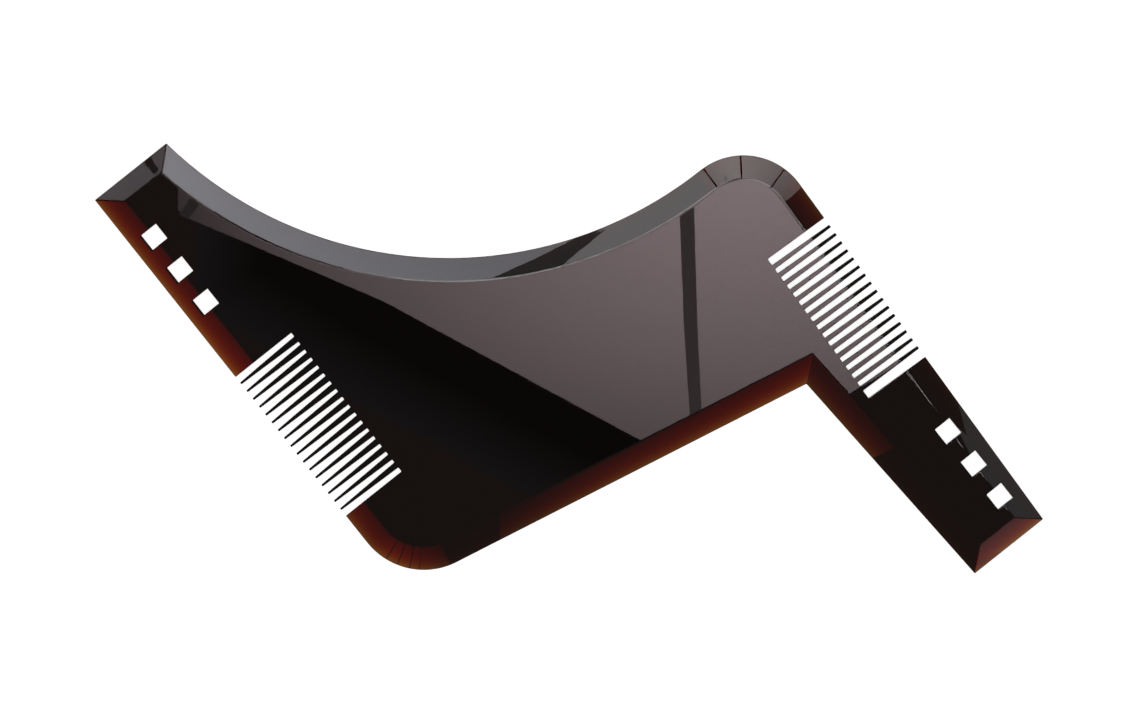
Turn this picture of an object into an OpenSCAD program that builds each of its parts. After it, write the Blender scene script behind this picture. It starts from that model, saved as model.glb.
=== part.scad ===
// Beard shaping comb: one flat plate with a comb in each long edge, square
// hanging holes at both ends and curved and straight edges to shave along.
// It lies on its flat back. +X runs along the long comb edge, from the tip
// arm to the leg, +Y runs across the plate towards the leg, and +Z is up
// through the bevelled front. The origin is the middle of the outer box, on
// the back face. The plate is divided into plain regions that meet face to
// face, and each tooth of a comb is a solid of its own.

/* [Plate] */
// Length of the plate, along X
length = 168.2; // [164:0.1:172]
// Width of the plate, along Y
width = 112.5; // [110:0.1:115]
// Thickness of the plate
thickness = 3.2; // [2.6:0.1:4]
// Height of the square edge that is left under the bevel
edge_land = 0.8; // [0.5:0.1:1.2]
// Width of the bevel round the front face
bevel_w = 4.8; // [3.5:0.1:5.5]
// Width of the steeper bevels across the ends of the tip arm and the leg
end_bevel_w = 4.15; // [3.5:0.05:5.5]

/* [Cheek curve] */
// Radius of the hollow edge that follows the cheek
cheek_r = 81.1; // [78:0.1:86]
// Width of the tip arm at its end
tip_w = 18.3; // [16:0.1:20]
// Radius of the round shoulder between the cheek curve and the back edge
shoulder_r = 13.9; // [12:0.1:14]
// Centre of the shoulder, along X
shoulder_x = 0.6; // [-1:0.1:2]

/* [Leg and jaw] */
// Slope of the back edge, in degrees
back_tilt = 2.5; // [2:0.1:3]
// Width of the leg at its end
end_w = 17.5; // [16:0.1:19]
// Slope of the leg's inner edge, in degrees
leg_tilt = 3.1; // [2:0.1:4]
// Inner corner between the leg and the jaw edge, along X
notch_x = 33.4; // [31:0.1:35]
// Lean of the jaw edge from the Y axis, in degrees
jaw_tilt = 11.5; // [10:0.1:12]
// Radius of the round heel between the jaw edge and the long comb edge
heel_r = 14.5; // [12:0.1:14.5]

/* [Long comb] */
// Teeth in the comb in the long edge
long_teeth = 17; // [13:2:17]
// Spacing of the long comb's teeth
long_pitch = 2.01; // [1.9:0.01:2.05]
// Depth of the long comb's slots
long_depth = 14.3; // [10:0.1:14.5]
// Middle of the long comb, along X
long_x = -21.1; // [-24:0.1:-20.5]
// Width of a long comb tooth where it stands on the plate
long_root = 1.32; // [1.1:0.01:1.4]
// Width of a long comb tooth at its tip
long_tip = 0.46; // [0.4:0.01:0.8]
// Tooth centre to the wall of the comb, at each end of the long comb
long_gap = 1.65; // [1.5:0.01:2]

/* [Back comb] */
// Teeth in the comb in the back edge
back_teeth = 16; // [14:2:16]
// Spacing of the back comb's teeth
back_pitch = 2.0; // [1.9:0.01:2.05]
// Depth of the back comb's slots
back_depth = 14.1; // [10:0.1:14.5]
// Middle of the back comb, along the back edge from the shoulder
back_s = 25.4; // [24:0.1:26]
// Width of a back comb tooth where it stands on the plate
back_root = 1.04; // [0.9:0.01:1.3]
// Width of a back comb tooth at its tip
back_tip = 0.63; // [0.4:0.01:0.8]
// First tooth centre to the comb's wall on the shoulder side
back_gap_in = 1.98; // [1.5:0.01:2.2]
// Last tooth centre to the comb's wall on the leg side
back_gap_out = 2.38; // [1.5:0.01:2.6]

/* [Hanging holes] */
// Side of each square hole
hole_side = 3.8; // [3:0.1:4.4]
// Spacing of the holes in a row
hole_pitch = 8.3; // [7:0.1:9]
// Middle hole of the tip arm's row, along X
tip_hole_x = -62.6; // [-64:0.1:-60]
// Tip arm's row, in from the long edge
tip_hole_in = 4.8; // [4:0.1:6]
// Middle hole of the leg's row, along X
leg_hole_x = 66.7; // [64:0.1:68]
// Leg's row, in from the corner of the leg, along Y
leg_hole_in = 4.0; // [3.5:0.1:5]

/* [Hidden] */
$fn = 96;
PLATE_BROWN = [0.12, 0.07, 0.06];
EDGE_AMBER = [0.36, 0.17, 0.07];
holes_in_row = 3;
// How far a bevel cutter runs past the faces that it cuts through
over = 1;
// How far the cheek curve's cutter turns past each end of the curve
spare_angle = 2;

function unit(v) = v / norm(v);
function deg_of(v) = atan2(v.y, v.x);
function cross2(a, b) = a.x * b.y - a.y * b.x;
// Point where the line through p along u meets the line through q along v
function meet(p, u, q, v) = p + u * cross2(q - p, v) / cross2(u, v);
// Point at distance rp from p and rq from q, on the left of the way from p to q
function circles_meet(p, rp, q, rq) =
    let (d = norm(q - p), along = (rp * rp - rq * rq + d * d) / (2 * d), e = (q - p) / d)
    p + along * e + sqrt(rp * rp - along * along) * [-e.y, e.x];

// Ends of the tip arm
tip_outer = [-length / 2, -width / 2];
tip_inner = tip_outer + [0, tip_w];
// Round shoulder, and the back edge that runs from it to the end of the leg
shoulder_c = [shoulder_x, width / 2 - shoulder_r];
back_out = [sin(back_tilt), cos(back_tilt)];
back_run = [cos(back_tilt), -sin(back_tilt)];
back_start = shoulder_c + shoulder_r * back_out;
// Point on the plate, s along the back edge and d in from it
function from_back(s, d = 0) = back_start + s * back_run - d * back_out;
// Corners of the leg and of the notch
leg_back = meet(back_start, back_run, [length / 2, 0], [0, 1]);
leg_front = leg_back - [0, end_w];
leg_run = [cos(leg_tilt), sin(leg_tilt)];
leg_out = [sin(leg_tilt), -cos(leg_tilt)];
notch = meet(leg_front, leg_run, [notch_x, 0], [0, 1]);
// Jaw edge, and the round heel that it runs into
jaw_run = [sin(jaw_tilt), cos(jaw_tilt)];
jaw_out = [cos(jaw_tilt), -sin(jaw_tilt)];
heel_y = -width / 2 + heel_r;
heel_c = meet(notch - heel_r * jaw_out, jaw_run, [0, heel_y], [1, 0]);
jaw_start = heel_c + heel_r * jaw_out;
// Cheek curve, from the tip arm's corner to the point where it turns into the shoulder
cheek_c = circles_meet(tip_inner, cheek_r, shoulder_c, cheek_r + shoulder_r);
cheek_in = unit(cheek_c - shoulder_c);
// Walls and root line of the long comb
long_half = (long_teeth - 1) / 2 * long_pitch + long_gap;
long_wall_tip = long_x - long_half;
long_wall_heel = long_x + long_half;
long_root_y = -width / 2 + long_depth;
// Walls of the back comb, as distances along the back edge
back_half = (back_teeth - 1) / 2 * back_pitch;
back_wall_in = back_s - back_half - back_gap_in;
back_wall_out = back_s + back_half + back_gap_out;
// Point where the two bevels of the notch meet on the front face
notch_mitre = notch - bevel_w * (jaw_out + leg_out) / (1 + jaw_out * leg_out);
// Back comb tooth whose root is nearest above that point
mitre_s = (notch_mitre - back_start) * back_run;
mitre_tooth = round((mitre_s - back_s + back_half) / back_pitch);
bridge_top = from_back(back_s - back_half + mitre_tooth * back_pitch, back_depth);
// Point of the leg's inner edge opposite the back comb's outer wall
bridge_end = meet(from_back(back_wall_out), back_out, leg_front, leg_run);
// Where the shoulder's foot crosses the boundary of the two panels
panel_top = meet(shoulder_c, cheek_in, [long_wall_heel, 0], [0, 1]);
// Reach of the region outlines into the empty side of the cheek curve
hollow = 6;
hollow_y = cheek_c.y - sqrt(pow(cheek_r - hollow, 2) - pow(long_wall_tip - cheek_c.x, 2));

// Section of what a bevel of width w takes off: x is the way in, from the edge at
// x = edge, and y the height
function bevel_section(edge, w) =
    let (slope = (thickness - edge_land) / w)
    [[edge - over, edge_land - slope * over],
     [edge + w + over, thickness + slope * over],
     [edge - over, thickness + slope * over]];

// What a bevel of width w takes off a straight edge from p to q, with the plate on its left
module straight_bevel(p, q, w = bevel_w) {
    run = unit(q - p);
    start = p - over * run;
    translate([start.x, start.y, 0]) rotate([0, 0, deg_of(run)]) rotate([90, 0, 90])
        linear_extrude(norm(q - p) + 2 * over) polygon(bevel_section(0, w));
}

// What the bevel takes off along the cheek curve
module cheek_bevel() {
    first = deg_of(tip_inner - cheek_c) - spare_angle;
    last = deg_of(-cheek_in) + spare_angle;
    translate([cheek_c.x, cheek_c.y, 0]) rotate([0, 0, first])
        rotate_extrude(angle = last - first, $fn = 240) polygon(bevel_section(cheek_r, bevel_w));
}

// Round corner of the plate about c, with its bevel, from angle a1 to angle a2
module round_corner(c, r, a1, a2) {
    translate([c.x, c.y, 0]) rotate([0, 0, a1]) rotate_extrude(angle = a2 - a1)
        polygon([[0, 0], [r, 0], [r, edge_land], [r - bevel_w, thickness], [0, thickness]]);
}

module cheek_circle() {
    translate(cheek_c) circle(cheek_r, $fn = 240);
}

// Square holes in a row along X, with the middle one at c
module hole_row(c) {
    for (i = [0 : holes_in_row - 1])
        translate([c.x + (i - (holes_in_row - 1) / 2) * hole_pitch, c.y, -over])
            linear_extrude(thickness + 2 * over) square(hole_side, center = true);
}

// Slab of the plate's thickness over an outline
module slab() {
    linear_extrude(thickness) children();
}

// Teeth that stand on the line y = 0 and point along +Y, in the middle of the row
module comb_outline(count, pitch, depth, root, tip) {
    for (i = [0 : count - 1])
        translate([(i - (count - 1) / 2) * pitch, 0])
            polygon([[-root / 2, 0], [root / 2, 0], [tip / 2, depth], [-tip / 2, depth]]);
}

module tip_arm() {
    color(PLATE_BROWN) difference() {
        slab() difference() {
            polygon([tip_outer, [long_wall_tip, -width / 2], [long_wall_tip, hollow_y],
                     tip_inner + [0, hollow]]);
            cheek_circle();
        }
        cheek_bevel();
        straight_bevel(tip_inner + [0, hollow], tip_outer, end_bevel_w);
        straight_bevel(tip_outer, [long_wall_tip, -width / 2]);
        hole_row([tip_hole_x, -width / 2 + tip_hole_in]);
    }
}

module cheek_panel() {
    color(PLATE_BROWN) difference() {
        slab() difference() {
            polygon([[long_wall_tip, long_root_y], [long_wall_heel, long_root_y], panel_top,
                     shoulder_c + (shoulder_r + hollow) * cheek_in, [long_wall_tip, hollow_y]]);
            cheek_circle();
        }
        cheek_bevel();
    }
}

module jaw_panel() {
    color(PLATE_BROWN) difference() {
        slab() polygon([[long_wall_heel, heel_c.y], heel_c, jaw_start, notch, notch_mitre, bridge_top,
                        from_back(back_wall_in, back_depth), shoulder_c, panel_top]);
        straight_bevel(jaw_start, notch);
    }
}

module heel_corner() {
    foot = -width / 2;
    color(EDGE_AMBER) union() {
        round_corner(heel_c, heel_r, -90, -jaw_tilt);
        difference() {
            slab() polygon([[long_wall_heel, foot], [heel_c.x, foot], heel_c, [long_wall_heel, heel_c.y]]);
            straight_bevel([long_wall_heel, foot], [heel_c.x, foot]);
        }
    }
}

module shoulder_corner() {
    color(PLATE_BROWN) union() {
        round_corner(shoulder_c, shoulder_r, 90 - back_tilt, deg_of(cheek_in));
        difference() {
            slab() polygon([shoulder_c, from_back(back_wall_in, back_depth), from_back(back_wall_in),
                            back_start]);
            straight_bevel(from_back(back_wall_in), back_start);
        }
    }
}

module leg_bridge() {
    color(PLATE_BROWN) difference() {
        slab() polygon([notch, bridge_end, from_back(back_wall_out, back_depth), bridge_top, notch_mitre]);
        straight_bevel(notch - bevel_w * leg_run, bridge_end);
    }
}

module leg() {
    color(PLATE_BROWN) difference() {
        slab() polygon([bridge_end, leg_front, leg_back, from_back(back_wall_out)]);
        straight_bevel(bridge_end, leg_front);
        straight_bevel(leg_front, leg_back, end_bevel_w);
        straight_bevel(leg_back, from_back(back_wall_out));
        hole_row([leg_hole_x, leg_back.y - leg_hole_in]);
    }
}

module long_comb_teeth() {
    color(EDGE_AMBER) difference() {
        slab() translate([long_x, long_root_y]) mirror([0, 1])
            comb_outline(long_teeth, long_pitch, long_depth, long_root, long_tip);
        straight_bevel([long_wall_tip, -width / 2], [long_wall_heel, -width / 2]);
    }
}

module back_comb_teeth() {
    root_mid = from_back(back_s, back_depth);
    color(EDGE_AMBER) difference() {
        slab() translate(root_mid) rotate(-back_tilt)
            comb_outline(back_teeth, back_pitch, back_depth, back_root, back_tip);
        straight_bevel(from_back(back_wall_out), from_back(back_wall_in));
    }
}

tip_arm();
cheek_panel();
jaw_panel();
heel_corner();
shoulder_corner();
leg_bridge();
leg();
long_comb_teeth();
back_comb_teeth();
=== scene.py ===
"""Beard shaping comb: one moulding in dark amber plastic, cut into the pieces that the CAD names."""

import math

import bmesh
import bpy
from mathutils import Matrix, Vector


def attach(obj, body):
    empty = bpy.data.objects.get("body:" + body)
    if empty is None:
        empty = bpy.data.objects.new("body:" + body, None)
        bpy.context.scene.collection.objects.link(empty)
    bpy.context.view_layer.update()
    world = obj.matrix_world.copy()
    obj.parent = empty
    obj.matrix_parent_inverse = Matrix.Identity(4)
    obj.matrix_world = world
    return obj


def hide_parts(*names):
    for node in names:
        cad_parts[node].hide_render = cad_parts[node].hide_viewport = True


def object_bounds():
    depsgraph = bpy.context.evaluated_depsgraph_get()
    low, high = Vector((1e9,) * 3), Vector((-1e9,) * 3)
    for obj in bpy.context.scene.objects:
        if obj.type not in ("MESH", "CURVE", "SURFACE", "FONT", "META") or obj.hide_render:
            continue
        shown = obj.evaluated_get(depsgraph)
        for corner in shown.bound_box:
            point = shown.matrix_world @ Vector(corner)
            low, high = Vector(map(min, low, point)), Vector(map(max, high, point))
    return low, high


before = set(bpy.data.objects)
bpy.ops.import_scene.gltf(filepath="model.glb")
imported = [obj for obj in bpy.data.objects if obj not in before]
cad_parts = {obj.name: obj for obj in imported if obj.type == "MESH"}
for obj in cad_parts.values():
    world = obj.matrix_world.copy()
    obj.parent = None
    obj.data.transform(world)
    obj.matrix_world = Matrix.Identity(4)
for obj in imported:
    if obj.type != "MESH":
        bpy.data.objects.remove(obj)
cad_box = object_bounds()

MM = 0.001
X, Y = Vector((1, 0)), Vector((0, 1))
LENGTH = cad_box[1].x - cad_box[0].x
THICKNESS = cad_box[1].z

# ---------------------------------------------------------------- camera
# It looks straight down on the comb, turned so that the comb lies slantwise across the picture.
CAMERA_HEIGHT, CAMERA_REACH = 1.6, 10
SENSOR_WIDTH = 36           # in mm, and the lens with it
VIEW_WIDTH = 225.9 * MM
VIEW_TURN = math.radians(51.5)
VIEW_CENTRE = Vector((-0.05 * MM, -2.8 * MM, THICKNESS))


def in_view(height):
    """Placement whose x and y run right and up in the picture, height above the comb's face."""
    turn = Matrix.Rotation(VIEW_TURN, 4, "Z")
    return Matrix.Translation(VIEW_CENTRE + Vector((0, 0, height))) @ turn


camera_data = bpy.data.cameras.new("camera")
camera_data.sensor_width = SENSOR_WIDTH
camera_data.lens = SENSOR_WIDTH * CAMERA_HEIGHT / VIEW_WIDTH
camera_data.clip_end = CAMERA_REACH
camera = bpy.data.objects.new("camera", camera_data)
camera.matrix_world = in_view(CAMERA_HEIGHT)
bpy.context.scene.collection.objects.link(camera)
bpy.context.scene.camera = camera

# ---------------------------------------------------------------- the comb's own dimensions
# Those that the frame doesn't give are repeated from the part's source.
WIDTH = 112.5 * MM
EDGE_LAND = 0.8 * MM
BEVEL_W = 4.8 * MM
END_BEVEL_W = 4.15 * MM
CHEEK_R = 81.1 * MM
TIP_W = 18.3 * MM
SHOULDER_R = 13.9 * MM
SHOULDER_X = 0.6 * MM
BACK_TILT = math.radians(2.5)
END_W = 17.5 * MM
LEG_TILT = math.radians(3.1)
NOTCH_X = 33.4 * MM
JAW_TILT = math.radians(11.5)
HEEL_R = 14.5 * MM
HOLE_SIDE, HOLE_PITCH = 3.8 * MM, 8.3 * MM
TIP_HOLE_X, TIP_HOLE_IN = -62.6 * MM, 4.8 * MM
LEG_HOLE_X, LEG_HOLE_IN = 66.7 * MM, 4.0 * MM

# Each comb: teeth, spacing, depth, middle along its edge, tooth width at the root and
# at the tip, and the way from an end tooth to the wall at the first and the last end.
LONG_COMB = dict(teeth=17, pitch=2.01 * MM, depth=14.3 * MM, mid=-21.1 * MM,
                 root=1.32 * MM, tip=0.46 * MM, gaps=(1.65 * MM, 1.65 * MM))
BACK_COMB = dict(teeth=16, pitch=2.0 * MM, depth=14.1 * MM, mid=25.4 * MM,
                 root=1.04 * MM, tip=0.63 * MM, gaps=(1.98 * MM, 2.38 * MM))

EDGE_ROUND = 0.12 * MM      # rounding of every moulded edge
CREASE_ROUND = 0.3 * MM     # rounding where the face rolls over into the bevel
ROUND_STEPS = 2             # faces across a rounding
ROUNDED = math.radians(15)  # edges that turn more than this are rounded
CREASE = math.radians(35)   # the crease round the flat face turns less than this
FLAT_FACE = 0.999           # least upward part of the flat face's normal
SMOOTH = math.radians(8)    # faces that turn less than this from one another are one surface
SHARP = math.radians(50)    # the faces across a rounding shade together up to this
STORED = 0.5                # a stored normal holds if its length and its cosine to its face pass this
ARC_STEP = math.radians(2.5)
CHEEK_STEPS = 72

STUB = 0.15 * MM            # what each tooth leaves on the plate where the pieces part
INTO_GAP = 0.4 * MM         # how far into a comb's end slots the pieces part
OUT = 3 * MM                # how far cutters and regions run past the plate
# Two points out past the round of the shoulder, by distance and angle about its centre. Straight
# sides between them clear it.
SHOULDER_CLEAR, SHOULDER_WAYS = (SHOULDER_R + OUT) * 1.3, (math.radians(100), math.radians(140))

# Fine V grooves up the bevel, as half width and depth, and where they cross the round
# corners' bevels, as angles about each corner's centre
MITRE_GROOVE = SHOULDER_GROOVE = (0.16 * MM, 0.2 * MM)
HEEL_GROOVE = (0.1 * MM, 0.07 * MM)
SHOULDER_MARKS, HEEL_MARKS = (177, 144, 105), (-70, -60, -50, -42)
MARK_SPREAD = 3             # cutter's width over its groove's, so that its top clears the bevel
MARK_START = -0.15          # where the cutter starts, as a share of the way up the bevel


# ---------------------------------------------------------------- plane geometry
def vec(x, y):
    return Vector((x, y))


def polar(centre, radius, angle):
    return centre + radius * vec(math.cos(angle), math.sin(angle))


def angle_of(v):
    return math.atan2(v.y, v.x)


def cross(a, b):
    return a.x * b.y - a.y * b.x


def meet(p, u, q, v):
    """Point where the line through p along u meets the line through q along v."""
    return p + u * (cross(q - p, v) / cross(u, v))


def circles_meet(p, rp, q, rq):
    """Point at distance rp from p and rq from q, on the left of the way from p to q."""
    d = (q - p).length
    along = (rp * rp - rq * rq + d * d) / (2 * d)
    e = (q - p) / d
    return p + e * along + vec(-e.y, e.x) * math.sqrt(rp * rp - along * along)


def arc(centre, radius, first, last):
    """Points along an arc, both ends included."""
    steps = max(2, math.ceil(abs(last - first) / ARC_STEP))
    return [polar(centre, radius, first + (last - first) * i / steps) for i in range(steps + 1)]


tip_outer = vec(-LENGTH / 2, -WIDTH / 2)
tip_inner = tip_outer + Y * TIP_W
shoulder_c = vec(SHOULDER_X, WIDTH / 2 - SHOULDER_R)
back_out = vec(math.sin(BACK_TILT), math.cos(BACK_TILT))
back_run = vec(math.cos(BACK_TILT), -math.sin(BACK_TILT))
back_start = shoulder_c + back_out * SHOULDER_R
leg_back = meet(back_start, back_run, X * LENGTH / 2, Y)
leg_front = leg_back - Y * END_W
leg_run = vec(math.cos(LEG_TILT), math.sin(LEG_TILT))
leg_out = vec(math.sin(LEG_TILT), -math.cos(LEG_TILT))
notch = meet(leg_front, leg_run, X * NOTCH_X, Y)
jaw_run = vec(math.sin(JAW_TILT), math.cos(JAW_TILT))
jaw_out = vec(math.cos(JAW_TILT), -math.sin(JAW_TILT))
heel_c = meet(notch - jaw_out * HEEL_R, jaw_run, Y * (HEEL_R - WIDTH / 2), X)
cheek_c = circles_meet(tip_inner, CHEEK_R, shoulder_c, CHEEK_R + SHOULDER_R)
cheek_in = (cheek_c - shoulder_c).normalized()
notch_mitre = notch - (jaw_out + leg_out) * (BEVEL_W / (1 + jaw_out.dot(leg_out)))


def from_long(along, depth):
    """Point on the plate, at along and depth in from the long edge."""
    return vec(along, depth - WIDTH / 2)


def from_back(along, depth):
    """Point on the plate, along the back edge from the shoulder and depth in from it."""
    return back_start + back_run * along - back_out * depth


def on_cheek(x, inset=0.0):
    """Point at x on the cheek curve, moved into the plate by inset."""
    return vec(x, cheek_c.y - math.sqrt((CHEEK_R + inset) ** 2 - (x - cheek_c.x) ** 2))


def outline(inset):
    """The plate's outline, moved in by inset, anticlockwise. Every inset gives as many points."""
    end_x = LENGTH / 2 - inset * END_BEVEL_W / BEVEL_W
    heel = arc(heel_c, HEEL_R - inset, -math.pi / 2, -JAW_TILT)
    notch_corner = meet(notch - jaw_out * inset, jaw_run, notch - leg_out * inset, leg_run)
    front_corner = meet(leg_front - leg_out * inset, leg_run, X * end_x, Y)
    back_corner = meet(leg_back - back_out * inset, back_run, X * end_x, Y)
    shoulder = arc(shoulder_c, SHOULDER_R - inset, math.pi / 2 - BACK_TILT, angle_of(cheek_in))
    first = angle_of(-cheek_in)
    turn = angle_of(on_cheek(-end_x, inset) - cheek_c) - first
    cheek = [polar(cheek_c, CHEEK_R + inset, first + turn * i / CHEEK_STEPS)
             for i in range(1, CHEEK_STEPS + 1)]
    return [vec(-end_x, inset - WIDTH / 2), *heel, notch_corner, front_corner, back_corner,
            *shoulder, *cheek]


def anticlockwise(points):
    area = sum(cross(p, q) for p, q in zip(points, points[1:] + points[:1]))
    return points if area > 0 else points[::-1]


# ---------------------------------------------------------------- meshes
def new_object(name, bm):
    mesh = bpy.data.meshes.new(name)
    bm.to_mesh(mesh)
    bm.free()
    obj = bpy.data.objects.new(name, mesh)
    bpy.context.scene.collection.objects.link(obj)
    return obj


def add_prism(bm, points, low, high):
    """Adds a closed upright prism over an outline."""
    points = anticlockwise(points)
    bottom = [bm.verts.new((p.x, p.y, low)) for p in points]
    top = [bm.verts.new((p.x, p.y, high)) for p in points]
    bm.faces.new(bottom[::-1])
    bm.faces.new(top)
    for i in range(len(points)):
        j = (i + 1) % len(points)
        bm.faces.new((bottom[i], bottom[j], top[j], top[i]))


def plate_blank():
    """The whole plate with its bevelled rim, before the slots and holes."""
    bm = bmesh.new()
    rings = [[bm.verts.new((p.x, p.y, z)) for p in outline(inset)]
             for inset, z in ((0, 0), (0, EDGE_LAND), (BEVEL_W, THICKNESS))]
    count = len(rings[0])
    for low, high in zip(rings, rings[1:]):
        for i in range(count):
            j = (i + 1) % count
            bm.faces.new((low[i], low[j], high[j], high[i]))
    bm.faces.new(rings[0][::-1])
    bm.faces.new(rings[-1])
    return new_object("plate_blank", bm)


def tooth_centres(comb):
    first = comb["mid"] - (comb["teeth"] - 1) / 2 * comb["pitch"]
    return [first + i * comb["pitch"] for i in range(comb["teeth"])]


def end_walls(comb):
    """Where a comb's first slot starts and its last one ends."""
    centres = tooth_centres(comb)
    return centres[0] - comb["gaps"][0], centres[-1] + comb["gaps"][1]


def slot_outlines(comb, place):
    """Outlines of the slots of a comb. place turns (along, depth) into a point on the plate."""
    centres = tooth_centres(comb)
    flare = (comb["root"] - comb["tip"]) / 2 / comb["depth"]
    root_half = comb["root"] / 2
    mouth_half = comb["tip"] / 2 - flare * OUT
    start, end = end_walls(comb)
    walls_in = [(start, start)] + [(c + root_half, c + mouth_half) for c in centres]
    walls_out = [(c - root_half, c - mouth_half) for c in centres] + [(end, end)]
    for (root_a, mouth_a), (root_b, mouth_b) in zip(walls_in, walls_out):
        yield [place(mouth_a, -OUT), place(mouth_b, -OUT),
               place(root_b, comb["depth"]), place(root_a, comb["depth"])]


def square_at(centre, side):
    h = side / 2
    return [centre + vec(x, y) for x, y in ((-h, -h), (h, -h), (h, h), (-h, h))]


def slot_and_hole_cutters():
    """Everything that is cut right through the plate."""
    bm = bmesh.new()
    shapes = [*slot_outlines(LONG_COMB, from_long), *slot_outlines(BACK_COMB, from_back)]
    for i in (-1, 0, 1):
        shapes.append(square_at(from_long(TIP_HOLE_X + i * HOLE_PITCH, TIP_HOLE_IN), HOLE_SIDE))
        leg_hole = vec(LEG_HOLE_X + i * HOLE_PITCH, leg_back.y - LEG_HOLE_IN)
        shapes.append(square_at(leg_hole, HOLE_SIDE))
    for points in shapes:
        add_prism(bm, points, -OUT, THICKNESS + OUT)
    return new_object("slot_and_hole_cutters", bm)


def add_mark(bm, foot, top, groove):
    """Adds the cutter of one mark: a V groove up the bevel, from foot on its edge to top."""
    half, depth = groove
    wide, high = half * MARK_SPREAD, depth * (MARK_SPREAD - 1)
    run = (top - foot).normalized()
    side = vec(-run.y, run.x)
    ends = []
    for share in (MARK_START, 1):
        middle = foot.lerp(top, share)
        surface = EDGE_LAND + (THICKNESS - EDGE_LAND) * share
        ends.append([bm.verts.new((*(middle + side * wide), surface + high)),
                     bm.verts.new((*(middle - side * wide), surface + high)),
                     bm.verts.new((*middle, surface - depth))])
    bm.faces.new(ends[0])
    bm.faces.new(ends[1][::-1])
    for i in range(3):
        j = (i + 1) % 3
        bm.faces.new((ends[0][j], ends[0][i], ends[1][i], ends[1][j]))


def mark_cutters():
    """Cutters of the fine lines across the round corners and along the mitres of the tip arm."""
    bm = bmesh.new()
    foot, top = outline(0), outline(BEVEL_W)
    for i in (0, -1):           # the outline starts and ends at the tip arm's two corners
        add_mark(bm, foot[i], top[i], MITRE_GROOVE)
    corners = ((shoulder_c, SHOULDER_R, SHOULDER_MARKS, SHOULDER_GROOVE),
               (heel_c, HEEL_R, HEEL_MARKS, HEEL_GROOVE))
    for centre, radius, angles, groove in corners:
        for angle in map(math.radians, angles):
            add_mark(bm, polar(centre, radius, angle), polar(centre, radius - BEVEL_W, angle), groove)
    bmesh.ops.recalc_face_normals(bm, faces=bm.faces)
    return new_object("mark_cutters", bm)


def apply_modifiers(obj):
    """Replaces an object's mesh by what its modifiers make of it."""
    graph = bpy.context.evaluated_depsgraph_get()
    mesh = bpy.data.meshes.new_from_object(obj.evaluated_get(graph), depsgraph=graph)
    obj.modifiers.clear()
    obj.data = mesh


def cut(obj, other, operation):
    mod = obj.modifiers.new("cut", "BOOLEAN")
    mod.operation, mod.object, mod.solver = operation, other, "EXACT"
    apply_modifiers(obj)
    bpy.data.objects.remove(other)


def round_edges(obj):
    """Rounds every moulded edge. The new faces get material 1, which marks where the edges wear."""
    bm = bmesh.new()
    bm.from_mesh(obj.data)
    weight = bm.edges.layers.float.new("bevel_weight_edge")
    for edge in bm.edges:
        angle = edge.calc_face_angle(0)
        if angle > ROUNDED:
            on_flat_face = max(f.normal.z for f in edge.link_faces) > FLAT_FACE
            edge[weight] = 1 if on_flat_face and angle < CREASE else EDGE_ROUND / CREASE_ROUND
    bm.to_mesh(obj.data)
    bm.free()
    mod = obj.modifiers.new("round", "BEVEL")
    mod.width, mod.segments, mod.limit_method = CREASE_ROUND, ROUND_STEPS, "WEIGHT"
    mod.material = 1
    apply_modifiers(obj)


def smooth_normal(face, vert):
    """Normal of the surface that face belongs to, at one of its corners."""
    total = Vector((0, 0, 0))
    for other in vert.link_faces:
        if other.material_index == face.material_index and other.normal.angle(face.normal) < SMOOTH:
            total += other.normal * other.calc_area()
    return total.normalized()


def store_normals(obj):
    """Keeps the normals in the shading attribute, so that the pieces match where they part.
    Flat faces stay flat, arcs are smooth, and rounded edges run from one face to the other."""
    bm = bmesh.new()
    bm.from_mesh(obj.data)
    shading = bm.loops.layers.float_vector.new("shading")
    for face in bm.faces:
        for loop in face.loops:
            source = face
            if face.material_index:
                plain = [f for f in loop.vert.link_faces if f.material_index == 0]
                source = min(plain, key=lambda f: f.normal.angle(face.normal), default=None)
            if source is None:
                near = [f.normal for f in loop.vert.link_faces if f.normal.angle(face.normal) < SHARP]
                loop[shading] = sum(near, Vector((0, 0, 0))).normalized()
            else:
                loop[shading] = smooth_normal(source, loop.vert)
    bm.to_mesh(obj.data)
    bm.free()


# ---------------------------------------------------------------- where the pieces part
def partings(comb):
    """Where a comb's teeth part from the plate: along its edge in both end slots, and in depth."""
    start, end = end_walls(comb)
    return start + INTO_GAP, end - INTO_GAP, comb["depth"] - STUB


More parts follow.
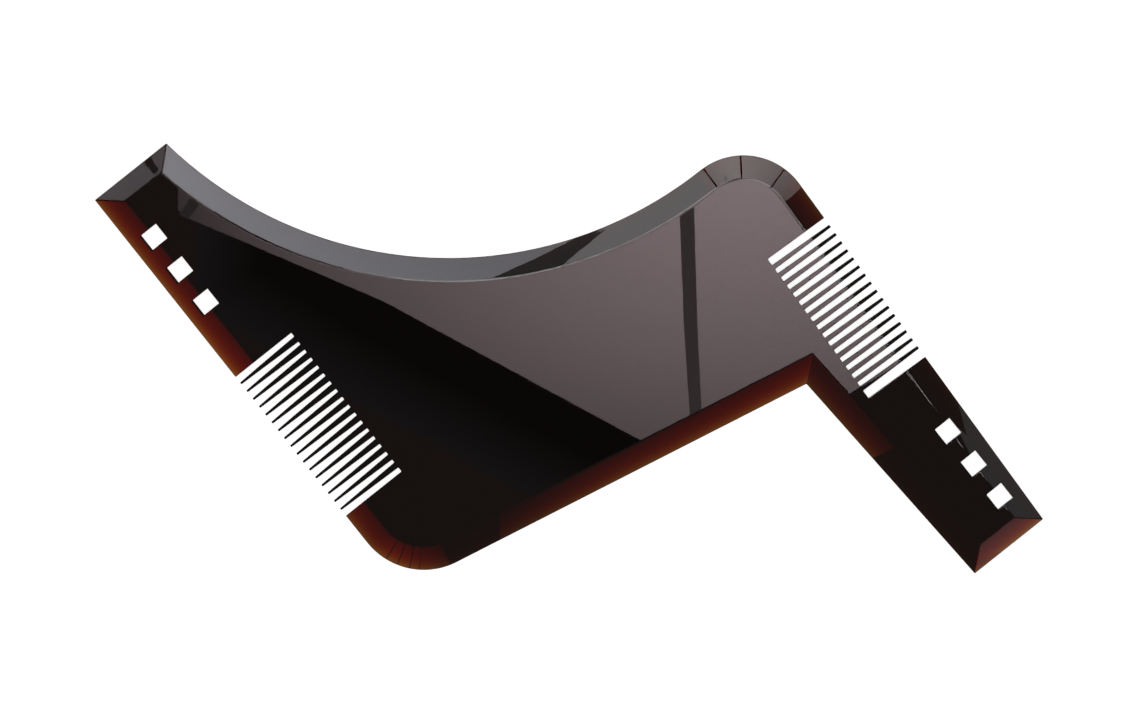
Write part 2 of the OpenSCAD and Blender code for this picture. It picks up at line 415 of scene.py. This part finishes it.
def regions():
    """Outline of each piece's share of the plate. Past the plate's edge they run on by OUT."""
    far = LENGTH
    tip_wall, heel_wall, long_root = partings(LONG_COMB)
    back_in, back_end, back_root = partings(BACK_COMB)

    curve_top = on_cheek(tip_wall) + Y * OUT
    panel_top = meet(shoulder_c, cheek_in, X * heel_wall, Y)
    shoulder_foot = shoulder_c + cheek_in * (SHOULDER_R + OUT)
    heel_far = heel_c + jaw_out * (HEEL_R + OUT)
    notch_far = notch + (notch - notch_mitre).normalized() * OUT
    # The bridge starts at the root of the tooth that is nearest the notch's mitre.
    mitre_along = (notch_mitre - back_start).dot(back_run)
    near_tooth = min(tooth_centres(BACK_COMB), key=lambda along: abs(along - mitre_along))
    bridge_top = from_back(near_tooth, back_root)
    bridge_end = meet(from_back(back_end, 0), back_out, leg_front + leg_out * OUT, leg_run)
    shoulder_far = [polar(shoulder_c, SHOULDER_CLEAR, angle) for angle in SHOULDER_WAYS]
    return {
        "tip_arm": [vec(-far, -far), vec(tip_wall, -far), curve_top, tip_inner + vec(-OUT, OUT),
                    vec(-far, tip_inner.y + OUT)],
        "cheek_panel": [from_long(tip_wall, long_root), from_long(heel_wall, long_root), panel_top,
                        shoulder_foot, curve_top],
        "jaw_panel": [vec(heel_wall, heel_c.y), heel_c, heel_far, notch_far, notch_mitre, bridge_top,
                      from_back(back_in, back_root), shoulder_c, panel_top],
        "heel_corner": [vec(heel_wall, -far), vec(heel_far.x, -far), heel_far, heel_c,
                        vec(heel_wall, heel_c.y)],
        "shoulder_corner": [shoulder_c, from_back(back_in, back_root), from_back(back_in, -OUT),
                            *shoulder_far, shoulder_foot],
        "leg_bridge": [notch_far, bridge_end, from_back(back_end, back_root), bridge_top, notch_mitre],
        "leg": [bridge_end, vec(far, bridge_end.y), vec(far, leg_back.y + OUT),
                from_back(back_end, -OUT)],
        "long_comb_teeth": [from_long(tip_wall, -OUT), from_long(heel_wall, -OUT),
                            from_long(heel_wall, long_root), from_long(tip_wall, long_root)],
        "back_comb_teeth": [from_back(back_in, back_root), from_back(back_end, back_root),
                            from_back(back_end, -OUT), from_back(back_in, -OUT)],
    }


# ---------------------------------------------------------------- plastic
REFRACTION = 1.55           # between acrylic's and polystyrene's
AMBER = (0.85, 0.423, 0.0)  # colour of the absorption, whose strength is per metre
# The teeth's copy of the plastic absorbs over eight times as strongly as the plate's, so they come out
# darker than the one moulding's plastic would: painted shade.
PLATE_DENSITY, SHADED_TEETH_DENSITY = 4700, 40000
# Noise scale and detail of the smudges on the faces, of the scuffs on the rounded edges and
# of the moulding's ripples, and the roughness or height that each gives
SMUDGES, POLISHED = (90, 6), (0.004, 0.012)
SCUFFS, WORN = (900, 3), (0.02, 0.1)
RIPPLES, RIPPLE_DEPTH = (45, 1), 0.00015 * MM


def link(tree, a, b):
    tree.links.new(a, b)


def noise(tree, place, scale, detail):
    """Random value between 0 and 1 that drifts over the surface."""
    node = tree.nodes.new("ShaderNodeTexNoise")
    node.inputs["Scale"].default_value = scale
    node.inputs["Detail"].default_value = detail
    link(tree, place, node.inputs["Vector"])
    return node.outputs["Fac"]


def remap(tree, value, before, after):
    """Value moved from the range before to the range after, and held inside it."""
    node = tree.nodes.new("ShaderNodeMapRange")
    limits = zip(("From Min", "From Max", "To Min", "To Max"), (*before, *after))
    for socket, limit in limits:
        node.inputs[socket].default_value = limit
    link(tree, value, node.inputs["Value"])
    return node.outputs["Result"]


def plastic(name, density):
    """Clear amber plastic that goes black with depth. Its rounded edges are worn less glossy."""
    mat = bpy.data.materials.new(name)
    mat.use_nodes = True
    tree = mat.node_tree
    add = tree.nodes.new
    bsdf = tree.nodes["Principled BSDF"]
    bsdf.inputs["Base Color"].default_value = (1, 1, 1, 1)
    bsdf.inputs["Transmission Weight"].default_value = 1
    bsdf.inputs["IOR"].default_value = REFRACTION

    place = add("ShaderNodeTexCoord").outputs["Object"]
    worn = add("ShaderNodeAttribute")
    worn.attribute_name = "worn"
    rough = add("ShaderNodeMix")
    link(tree, worn.outputs["Fac"], rough.inputs["Factor"])
    link(tree, remap(tree, noise(tree, place, *SMUDGES), (0, 1), POLISHED), rough.inputs["A"])
    link(tree, remap(tree, noise(tree, place, *SCUFFS), (0, 1), WORN), rough.inputs["B"])
    link(tree, rough.outputs["Result"], bsdf.inputs["Roughness"])

    bump = add("ShaderNodeBump")
    bump.inputs["Distance"].default_value = RIPPLE_DEPTH
    link(tree, noise(tree, place, *RIPPLES), bump.inputs["Height"])
    link(tree, bump.outputs["Normal"], bsdf.inputs["Normal"])

    absorb = add("ShaderNodeVolumeAbsorption")
    absorb.inputs["Color"].default_value = (*AMBER, 1)
    absorb.inputs["Density"].default_value = density
    link(tree, absorb.outputs[0], tree.nodes["Material Output"].inputs["Volume"])
    return mat


def finish_surface(obj, material):
    """Turns the rounding's material mark into the worn attribute, and sets material and normals.
    Faces that the marks and the parting made have no stored normals, and stay flat."""
    mesh = obj.data
    worn = mesh.attributes.new("worn", "FLOAT", "FACE")
    kept = [Vector(item.vector) for item in mesh.attributes["shading"].data]
    normals = [None] * len(mesh.loops)
    for face in mesh.polygons:
        worn.data[face.index].value = face.material_index
        face.material_index = 0
        face.use_smooth = True
        for i in face.loop_indices:
            own = kept[i].length > STORED and kept[i].dot(face.normal) > STORED
            normals[i] = kept[i].normalized() if own else face.normal.copy()
    mesh.normals_split_custom_set(normals)
    mesh.attributes.remove(mesh.attributes["shading"])
    mesh.materials.clear()
    mesh.materials.append(material)


def make_pieces():
    whole = plate_blank()
    cut(whole, slot_and_hole_cutters(), "DIFFERENCE")
    # Two empty material slots: 0 marks the faces, and 1 the roundings.
    for _ in range(2):
        whole.data.materials.append(None)
    round_edges(whole)
    store_normals(whole)
    cut(whole, mark_cutters(), "DIFFERENCE")
    body = plastic("amber_plastic", PLATE_DENSITY)
    # The teeth get the darker copy of the plastic: painted shade.
    teeth = plastic("amber_plastic_teeth_painted_shade", SHADED_TEETH_DENSITY)
    for node, points in regions().items():
        piece = bpy.data.objects.new(node + "_finished", whole.data.copy())
        bpy.context.scene.collection.objects.link(piece)
        bm = bmesh.new()
        add_prism(bm, points, -OUT, THICKNESS + OUT)
        cut(piece, new_object("region", bm), "INTERSECT")
        finish_surface(piece, teeth if node.endswith("teeth") else body)
        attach(piece, "root")
        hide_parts(node)
    bpy.data.objects.remove(whole)


make_pieces()


# ---------------------------------------------------------------- studio
# Heights of the cards above the comb's face, in mm. Where two cross, the comb sees the nearer
# one. Those below its face are the light table's.
HIGHEST, HIGH, LOW = 297.8, 296.8, 295.8
NEAR, NEARER = 46.8, 45.8
TABLE, TABLE_UPPER, TABLE_END = -623.2, -622.2, -446.2
MAUVE, BLUE = (1, 0.79, 0.82), (0.98, 0.97, 1.05)
FLOOR_SIZE, FLOOR_TOP, FLOOR_BOTTOM = 4, -0.3 * MM, -20 * MM
# Ways that a ray looks, as the upward part of its direction: from steeply down to slantwise,
# and from just under the horizon to just over it
STEEP_TO_SLANT, HORIZON = (-0.85, -0.55), (-0.1, 0.1)


def glow(name, colour, strength, bright_at, reach):
    """Emission as strong as the card's lit attribute says. It is even, or falls off to nothing
    at reach from its brightest point."""
    mat = bpy.data.materials.new(name)
    mat.use_nodes = True
    mat.cycles.emission_sampling = "NONE"
    tree = mat.node_tree
    tree.nodes.remove(tree.nodes["Principled BSDF"])
    emit = tree.nodes.new("ShaderNodeEmission")
    emit.inputs["Color"].default_value = (*colour, 1)
    link(tree, emit.outputs[0], tree.nodes["Material Output"].inputs["Surface"])
    lit = tree.nodes.new("ShaderNodeAttribute")
    lit.attribute_name = "lit"

    def times(a, b):
        node = tree.nodes.new("ShaderNodeMath")
        node.operation = "MULTIPLY"
        link(tree, a, node.inputs[0])
        if isinstance(b, float):
            node.inputs[1].default_value = b
        else:
            link(tree, b, node.inputs[1])
        return node.outputs[0]

    level = times(lit.outputs["Fac"], strength)
    if bright_at:
        mapping = tree.nodes.new("ShaderNodeMapping")
        mapping.vector_type = "TEXTURE"
        mapping.inputs["Location"].default_value = (bright_at[0] * MM, bright_at[1] * MM, 0)
        mapping.inputs["Scale"].default_value = (reach[0] * MM, reach[1] * MM, 1)
        ball = tree.nodes.new("ShaderNodeTexGradient")
        ball.gradient_type = "SPHERICAL"
        link(tree, tree.nodes.new("ShaderNodeTexCoord").outputs["Object"], mapping.inputs["Vector"])
        link(tree, mapping.outputs[0], ball.inputs["Vector"])
        level = times(ball.outputs["Fac"], level)
    link(tree, level, emit.inputs["Strength"])
    return mat


def inset_corners(corners, by):
    """An anticlockwise outline's corners, moved in by a width."""
    moved = []
    for before, here, after in zip(corners[-1:] + corners[:-1], corners, corners[1:] + corners[:1]):
        a, b = (here - before).normalized(), (after - here).normalized()
        moved.append(meet(here + vec(-a.y, a.x) * by, a, here + vec(-b.y, b.x) * by, b))
    return moved


def card(name, seen_by, height, corners, colour, strength=1.0, bright_at=None, reach=None,
         fade=0, edge=0.0):
    """Flat light or flag that one kind of ray sees. All places are in mm: its height above the
    comb's face, and its corners, right and up in the picture from its middle. Over the width
    fade inside its edges the light changes to the share edge of its strength."""
    corners = anticlockwise([vec(r, u) * MM for r, u in corners])
    bm = bmesh.new()
    rings = [[bm.verts.new((*p, 0)) for p in corners]]
    if fade:
        rings.append([bm.verts.new((*p, 0)) for p in inset_corners(corners, fade * MM)])
        for i in range(len(corners)):
            j = (i + 1) % len(corners)
            bm.faces.new((rings[0][i], rings[0][j], rings[1][j], rings[1][i]))
    bm.faces.new(rings[-1])
    obj = new_object(name, bm)
    lit = obj.data.attributes.new("lit", "FLOAT", "POINT")
    for i in range(len(obj.data.vertices)):
        lit.data[i].value = edge if fade and i < len(corners) else 1
    obj.matrix_world = in_view(height * MM)
    obj.data.materials.append(glow(name, colour, strength, bright_at, reach))
    for ray in ("camera", "diffuse", "glossy", "transmission", "volume_scatter", "shadow"):
        setattr(obj, "visible_" + ray, ray == seen_by)


def face_lights():
    """What the comb's flat face mirrors: a softbox overhead, with bars and a dark flag."""
    card("softbox", "glossy", HIGH,
         [(-91.7, 50), (-91.7, 36.2), (-89.8, 34.4), (-43, 14.5), (18, -18.5), (36, -27),
          (67.5, -7.3), (200, 70), (200, 130), (-110, 130), (-110, 88)],
         MAUVE, 4.57, bright_at=(44, 50), reach=(161, 107))
    card("softbox_bar", "glossy", LOW,
         [(26.6, 50), (30.2, 50), (31.4, 8), (32.6, -16), (29.8, -16), (28.2, 8)], (0.58, 0.5, 0.475))
    card("softbox_tip_bar", "glossy", LOW,
         [(-84, 41), (-89.2, 34), (-91.5, 35), (-86.5, 42)], (0.375, 0.335, 0.335))
    card("flag", "glossy", HIGHEST,
         [(-88, 14), (-54, -7), (9, -41), (50, -62), (70, -25), (27, -6), (-36, 28), (-86, 50)],
         (0.045, 0.045, 0.045), fade=15, edge=3)


def bevel_lights():
    """What the bevels mirror: windows all round."""
    card("window_cheek", "glossy", LOW,
         [(-117, 415), (-111, 419), (-97, 424.5), (-84, 427.7), (-53, 431.5), (-20, 432), (5, 430),
          (20, 427), (48, 420), (75, 409), (101, 396), (126, 381), (148, 363), (169, 343),
          (182, 330), (160, 305), (120, 335), (80, 345), (-117, 345)],
         BLUE, 4.41, bright_at=(150, 340), reach=(640, 330))
    card("window_hump", "glossy", HIGH,
         [(-300, 420), (-230, 325), (-125, 350), (120, 325), (222, 320), (330, 240), (391, 285),
          (450, 335), (400, 500), (-120, 500)],
         (1, 0.85, 0.85), 3.78, bright_at=(-15, 445), reach=(950, 400))
    card("window_tip", "glossy", HIGH, [(-492, 470), (-355, 335), (-330, 370), (-465, 512)],
         (1, 0.92, 0.95), 1.43, bright_at=(-477, 482), reach=(125, 125))
    card("window_tip_bar", "glossy", LOW,
         [(-464.8, 491.1), (-462.6, 492.8), (-455.3, 482.8), (-456.6, 481.6)], (0.21, 0.17, 0.175))
    card("window_leg", "glossy", HIGH, [(437.5, 240), (437.5, 190), (480, 180), (480, 230)],
         (0.51, 0.5, 0.5))
    card("window_end", "glossy", HIGH, [(440, -500), (490, -500), (490, -460), (440, -460)],
         (0.5, 0.5, 0.5))


def near_lights():
    """Low cards that only the cheek curve's end at the shoulder mirrors."""
    card("window_near", "glossy", NEAR, [(-17, 76), (0, 76), (-14.8, 95), (-17, 95)],
         (2.37, 2.26, 2.29))
    card("window_near_rim", "glossy", NEARER,
         [(-17, 87.4), (-10.5, 90.7), (-14.8, 95.5), (-17, 95.5)], (2.54, 2.2, 2.23))
    card("window_near_bar", "glossy", NEAR, [(-22.6, 76), (-17, 76), (-17, 95), (-17.2, 95)],
         (0.375, 0.35, 0.35))


def crease_lights():
    """Bright cards that only show as the thin line where the face rolls over into the bevel."""
    bright, dimmer = (5.2, 4.9, 4.9), (3.4, 3.2, 3.2)
    card("crease_light", "glossy", HIGH,
         [(-20, 134), (-16, 230), (10, 255), (16, 330), (-50, 330), (-65, 290), (-200, 290),
          (-120, 134)], bright)
    card("crease_light_side", "glossy", HIGH,
         [(22, 134), (178, 134), (325, 241), (222, 318), (150, 318), (80, 290), (32, 215)], bright)
    card("crease_light_back", "glossy", HIGH,
         [(178, 134), (203, 134), (203, 78), (345, 181), (345, 225), (325, 241)], dimmer)


def light_table():
    """Lit sheets under the comb, which show through its bevels and make them glow amber."""
    card("light_table", "transmission", TABLE,
         [(-95, 97), (61, 62.5), (85, 42.5), (149.5, 54), (183.2, 70.7), (183.2, 260), (-105, 260)],
         (0.5, 1, 1), 0.76, bright_at=(70, 110), reach=(240, 1000), fade=30, edge=0.45)
    card("light_table_leg", "transmission", TABLE_UPPER,
         [(183.2, 70.7), (231.4, 94.8), (231.4, 140), (183.2, 140)], (0.1, 0.2, 0.2))
    card("light_table_back", "transmission", TABLE_UPPER,
         [(-84, -67), (-59, -67), (-59, -46), (-84, -46)], (0.08, 0.15, 0.15))
    card("light_table_end", "transmission", TABLE_END,
         [(11.3, 56.5), (36.6, 66.2), (36.6, 74), (11.3, 65.3)], (0.32, 0.7, 0.7))


def floor():
    """Plain pale floor. The comb neither mirrors it nor shows it through its plastic."""
    bm = bmesh.new()
    add_prism(bm, square_at(vec(0, 0), FLOOR_SIZE), FLOOR_BOTTOM, FLOOR_TOP)
    obj = new_object("floor", bm)
    mat = bpy.data.materials.new("floor")
    mat.use_nodes = True
    bsdf = mat.node_tree.nodes["Principled BSDF"]
    bsdf.inputs["Base Color"].default_value = (0.8, 0.8, 0.8, 1)
    bsdf.inputs["Roughness"].default_value = 0.9
    bsdf.inputs["Emission Color"].default_value = (1, 1, 1, 1)
    bsdf.inputs["Emission Strength"].default_value = 0.93
    obj.data.materials.append(mat)
    obj.visible_transmission = False
    obj.visible_glossy = False


def sky():
    """Pale room for the camera and the floor, a dark one for what the plastic mirrors and for
    what shows through it."""
    world = bpy.data.worlds.new("studio")
    bpy.context.scene.world = world
    world.use_nodes = True
    tree = world.node_tree
    rays = tree.nodes.new("ShaderNodeLightPath")
    way = tree.nodes.new("ShaderNodeSeparateXYZ")
    link(tree, tree.nodes.new("ShaderNodeTexCoord").outputs["Generated"], way.inputs[0])

    def rising(limits):
        """From 0 to 1 as the ray's way turns up through the limits."""
        return remap(tree, way.outputs["Z"], limits, (0, 1))

    def mixed(factor, low, high):
        """Colour between low and high. In this node sockets 6 and 7 take the colours, and 2 gives it."""
        node = tree.nodes.new("ShaderNodeMix")
        node.data_type = "RGBA"
        link(tree, factor, node.inputs["Factor"])
        for socket, value in ((node.inputs[6], low), (node.inputs[7], high)):
            if isinstance(value, tuple):
                socket.default_value = (*value, 1)
            else:
                link(tree, value, socket)
        return node.outputs[2]

    through = mixed(rising(STEEP_TO_SLANT), (0.008, 0.02, 0.02), (0.33, 0.33, 0.33))
    mirrored = mixed(rising(HORIZON), (0.05, 0.042, 0.037), (0.166, 0.129, 0.116))
    direct = mixed(rays.outputs["Is Camera Ray"], (0.3, 0.3, 0.3), (0.95, 0.95, 0.95))
    opaque = mixed(rays.outputs["Is Glossy Ray"], direct, mirrored)
    colour = mixed(rays.outputs["Is Transmission Ray"], opaque, through)
    link(tree, colour, tree.nodes["Background"].inputs["Color"])


face_lights()
bevel_lights()
near_lights()
crease_lights()
light_table()
floor()
sky()
bpy.context.scene.view_settings.view_transform = "Standard"
